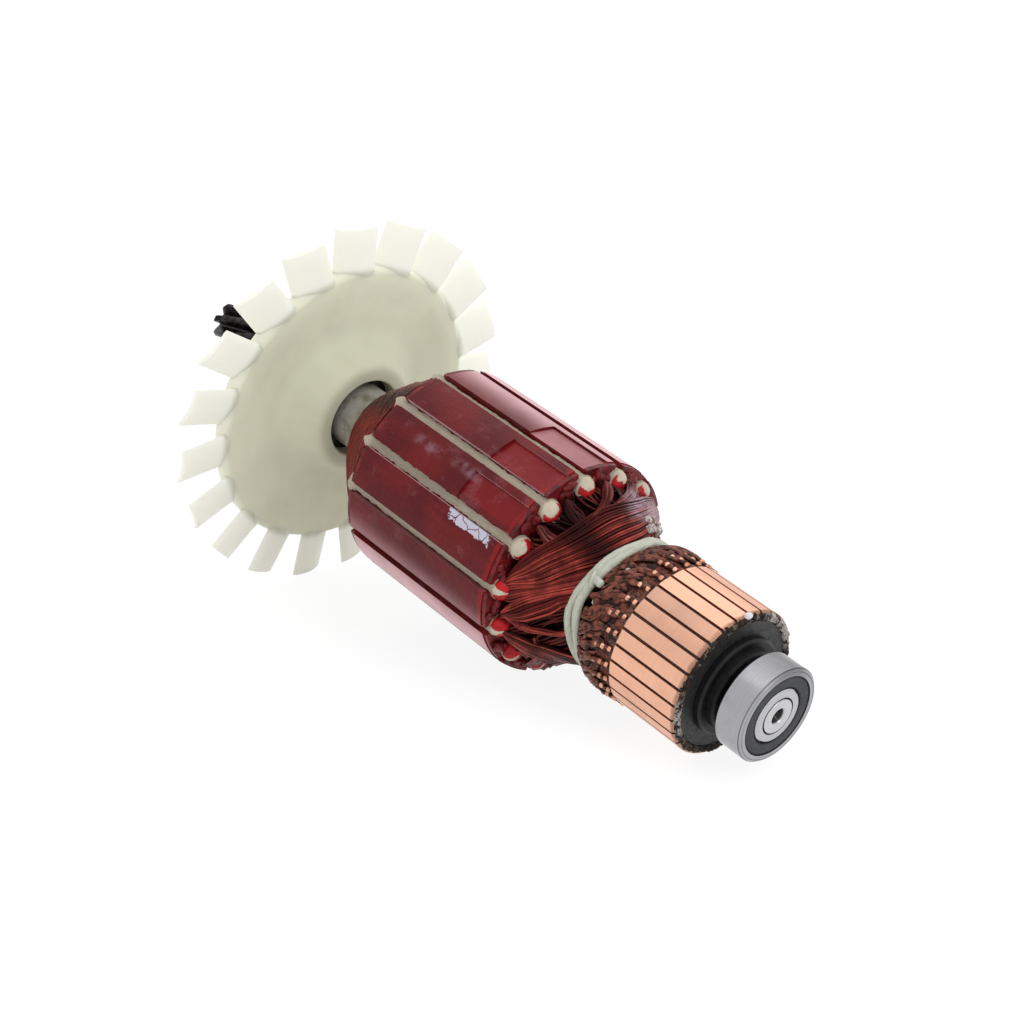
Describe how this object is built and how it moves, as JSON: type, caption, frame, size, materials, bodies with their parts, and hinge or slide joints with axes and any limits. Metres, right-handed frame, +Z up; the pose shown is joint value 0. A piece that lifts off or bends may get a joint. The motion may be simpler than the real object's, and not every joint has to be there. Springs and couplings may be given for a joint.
{
  "type": "motor armature",
  "caption": "Universal-motor armature: steel shaft with helical pinion, slotted red-lacquered core, copper winding and commutator, nylon axial fan and sealed ball bearing.",
  "frame": {"origin": "on the floor under the middle of the bounding box, with the armature lying at rest on two fan blades and the front edge of the commutator", "axes": "+X towards the ball bearing, along the floor under the shaft; +Z up; the shaft dips towards +X by 12.72 degrees"},
  "size_m": [0.1895, 0.0926, 0.0906],
  "materials": {
    "shaft_steel": "satin ground steel",
    "tube_grey": "matte, stained",
    "core_lacquer": "deep red lacquer, worn",
    "plate_lacquer": "red lacquered fibre",
    "winding_varnish": "varnished enamelled wire",
    "lacing": "woven cord in varnish",
    "moulding": "dark moulded resin",
    "boss_black": "black, satin",
    "bar_copper": "turned copper",
    "slot_paper": "matte",
    "fan_nylon": "ivory nylon, satin",
    "bush_dark": "dark, matte",
    "bearing_steel": "ground and polished",
    "cage_steel": "pressed",
    "seal_rubber": "matte"
  },
  "bodies": {
    "armature": {"shaft": "shaft_steel", "shaft_tube": "tube_grey", "lamination_stack": "core_lacquer", "front_end_plate": "plate_lacquer", "rear_end_plate": "plate_lacquer", "winding": "winding_varnish", "winding_front_head": "winding_varnish", "lacing_cord": "lacing", "commutator_hub": "moulding", "front_boss": "boss_black", "fan": "fan_nylon", "fan_bush": "bush_dark", "bearing_inner_ring": "bearing_steel", "commutator_bar_01": "bar_copper", "commutator_bar_02": "bar_copper", "commutator_bar_03": "bar_copper", "commutator_bar_04": "bar_copper", "commutator_bar_05": "bar_copper", "commutator_bar_06": "bar_copper", "commutator_bar_07": "bar_copper", "commutator_bar_08": "bar_copper", "commutator_bar_09": "bar_copper", "commutator_bar_10": "bar_copper", "commutator_bar_11": "bar_copper", "commutator_bar_12": "bar_copper", "commutator_bar_13": "bar_copper", "commutator_bar_14": "bar_copper", "commutator_bar_15": "bar_copper", "commutator_bar_16": "bar_copper", "commutator_bar_17": "bar_copper", "commutator_bar_18": "bar_copper", "commutator_bar_19": "bar_copper", "commutator_bar_20": "bar_copper", "commutator_bar_21": "bar_copper", "commutator_bar_22": "bar_copper", "commutator_bar_23": "bar_copper", "commutator_bar_24": "bar_copper", "commutator_bar_25": "bar_copper", "commutator_bar_26": "bar_copper", "commutator_bar_27": "bar_copper", "commutator_bar_28": "bar_copper", "slot_paper_01": "slot_paper", "slot_paper_02": "slot_paper", "slot_paper_03": "slot_paper", "slot_paper_04": "slot_paper", "slot_paper_05": "slot_paper", "slot_paper_06": "slot_paper", "slot_paper_07": "slot_paper", "slot_paper_08": "slot_paper", "slot_paper_09": "slot_paper", "slot_paper_10": "slot_paper", "slot_paper_11": "slot_paper", "slot_paper_12": "slot_paper", "slot_paper_13": "slot_paper", "slot_paper_14": "slot_paper"},
    "bearing_outer": {"bearing_outer_ring": "bearing_steel", "bearing_front_seal": "seal_rubber", "bearing_rear_seal": "seal_rubber"},
    "ball_set": {"bearing_cage": "cage_steel", "bearing_balls": "bearing_steel"}
  },
  "joints": [
    {"name": "outer_ring_spin", "type": "hinge", "parent": "armature", "child": "bearing_outer", "pos_m": [0.08906, 0, 0.01432], "axis": [0.9754, 0, -0.2202], "continuous": true},
    {"name": "cage_spin", "type": "hinge", "parent": "armature", "child": "ball_set", "pos_m": [0.08906, 0, 0.01432], "axis": [0.9754, 0, -0.2202], "continuous": true}
  ],
  "couplings": [
    {"joint": "cage_spin", "follows": "outer_ring_spin", "ratio": 0.6291}
  ]
}
